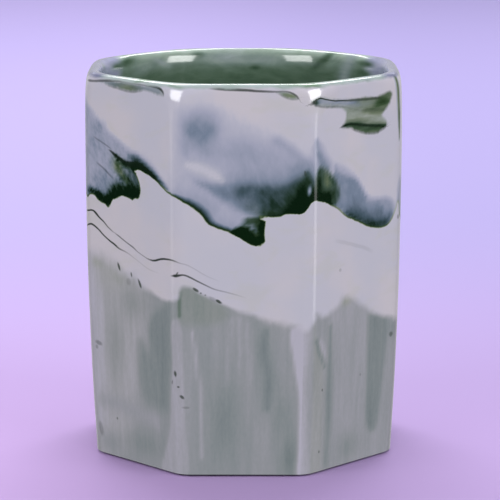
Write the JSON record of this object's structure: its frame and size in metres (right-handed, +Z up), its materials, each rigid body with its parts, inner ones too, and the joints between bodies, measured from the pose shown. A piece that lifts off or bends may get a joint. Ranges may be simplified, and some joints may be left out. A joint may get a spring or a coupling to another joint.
{
  "type": "pen holder",
  "caption": "Free-standing octagonal cup of marbled, glazed ceramic that keeps pens and pencils upright on a desk.",
  "frame": {"origin": "middle of the cup's footprint, on the surface it stands on", "axes": "+Z up through the open mouth; -Y out of the middle of one flat side, which the picture shows square-on; +X to that side's right"},
  "size_m": [0.081, 0.081, 0.1],
  "materials": {
    "glazed_marbled_clay": "gloss",
    "bare_clay": "matte"
  },
  "bodies": {
    "root": {"cup_wall": "glazed_marbled_clay", "cup_floor": "glazed_marbled_clay", "foot_ring": "bare_clay"}
  },
  "joints": []
}
